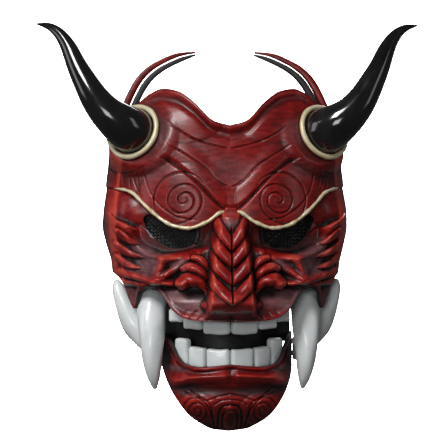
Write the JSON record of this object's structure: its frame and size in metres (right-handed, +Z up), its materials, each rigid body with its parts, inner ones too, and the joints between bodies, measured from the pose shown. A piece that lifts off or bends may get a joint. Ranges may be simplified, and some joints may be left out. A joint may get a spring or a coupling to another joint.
{
  "type": "horned demon face mask",
  "caption": "Red horned demon face mask with black horns, gilt brows, ivory tusks and teeth, and a hinged lower jaw.",
  "frame": {"origin": "centre of the rear opening that takes the wearer's head, at eye height, in the plane of the rear rims", "axes": "+X to the viewer's right as the mask faces them, the face looks towards -Y, +Z up"},
  "size_m": [0.2916, 0.1221, 0.3116],
  "materials": {
    "red_lacquer": "red paint over moulded resin, rubbed with dark antiquing in the hollows, satin",
    "horn_black": "high gloss black",
    "gilt": "aged gold paint, satin",
    "ivory": "cold ivory white, semi-gloss",
    "black_mesh": "black perforated sheet",
    "dark_lining": "matt black",
    "steel": "plain zinc-plated hardware",
    "foam": "black foam cushion"
  },
  "bodies": {
    "mask": {"face_shell": "red_lacquer", "forehead_pad": "foam", "left_band_lining": "dark_lining", "left_band_rivet": "steel", "left_brow_trim": "gilt", "left_cheek_pad": "foam", "left_crown_band": "red_lacquer", "left_eye_screen": "black_mesh", "left_front_tusk": "ivory", "left_hinge_pin": "steel", "left_horn": "horn_black", "left_horn_collar": "gilt", "left_horn_screw": "steel", "left_horn_washer": "steel", "left_strap_anchor": "steel", "left_strap_rivet": "steel", "mouth_screen": "black_mesh", "right_band_lining": "dark_lining", "right_band_rivet": "steel", "right_brow_trim": "gilt", "right_cheek_pad": "foam", "right_crown_band": "red_lacquer", "right_eye_screen": "black_mesh", "right_front_tusk": "ivory", "right_hinge_pin": "steel", "right_horn": "horn_black", "right_horn_collar": "gilt", "right_horn_screw": "steel", "right_horn_washer": "steel", "right_strap_anchor": "steel", "right_strap_rivet": "steel", "upper_gum": "dark_lining", "upper_tooth_1": "ivory", "upper_tooth_2": "ivory", "upper_tooth_3": "ivory", "upper_tooth_4": "ivory", "upper_tooth_5": "ivory", "upper_tooth_6": "ivory"},
    "jaw": {"jaw_shell": "red_lacquer", "left_arm_rivet": "steel", "left_jaw_arm": "steel", "left_side_tusk": "ivory", "lower_gum": "dark_lining", "lower_tooth_1": "ivory", "lower_tooth_2": "ivory", "lower_tooth_3": "ivory", "lower_tooth_4": "ivory", "lower_tooth_5": "ivory", "lower_tooth_6": "ivory", "right_arm_rivet": "steel", "right_jaw_arm": "steel", "right_side_tusk": "ivory"}
  },
  "joints": [
    {"name": "jaw_hinge", "type": "hinge", "parent": "mask", "child": "jaw", "pos_m": [0, -0.022, -0.038], "axis": [1, 0, 0], "range_deg": [-5, 0]}
  ]
}
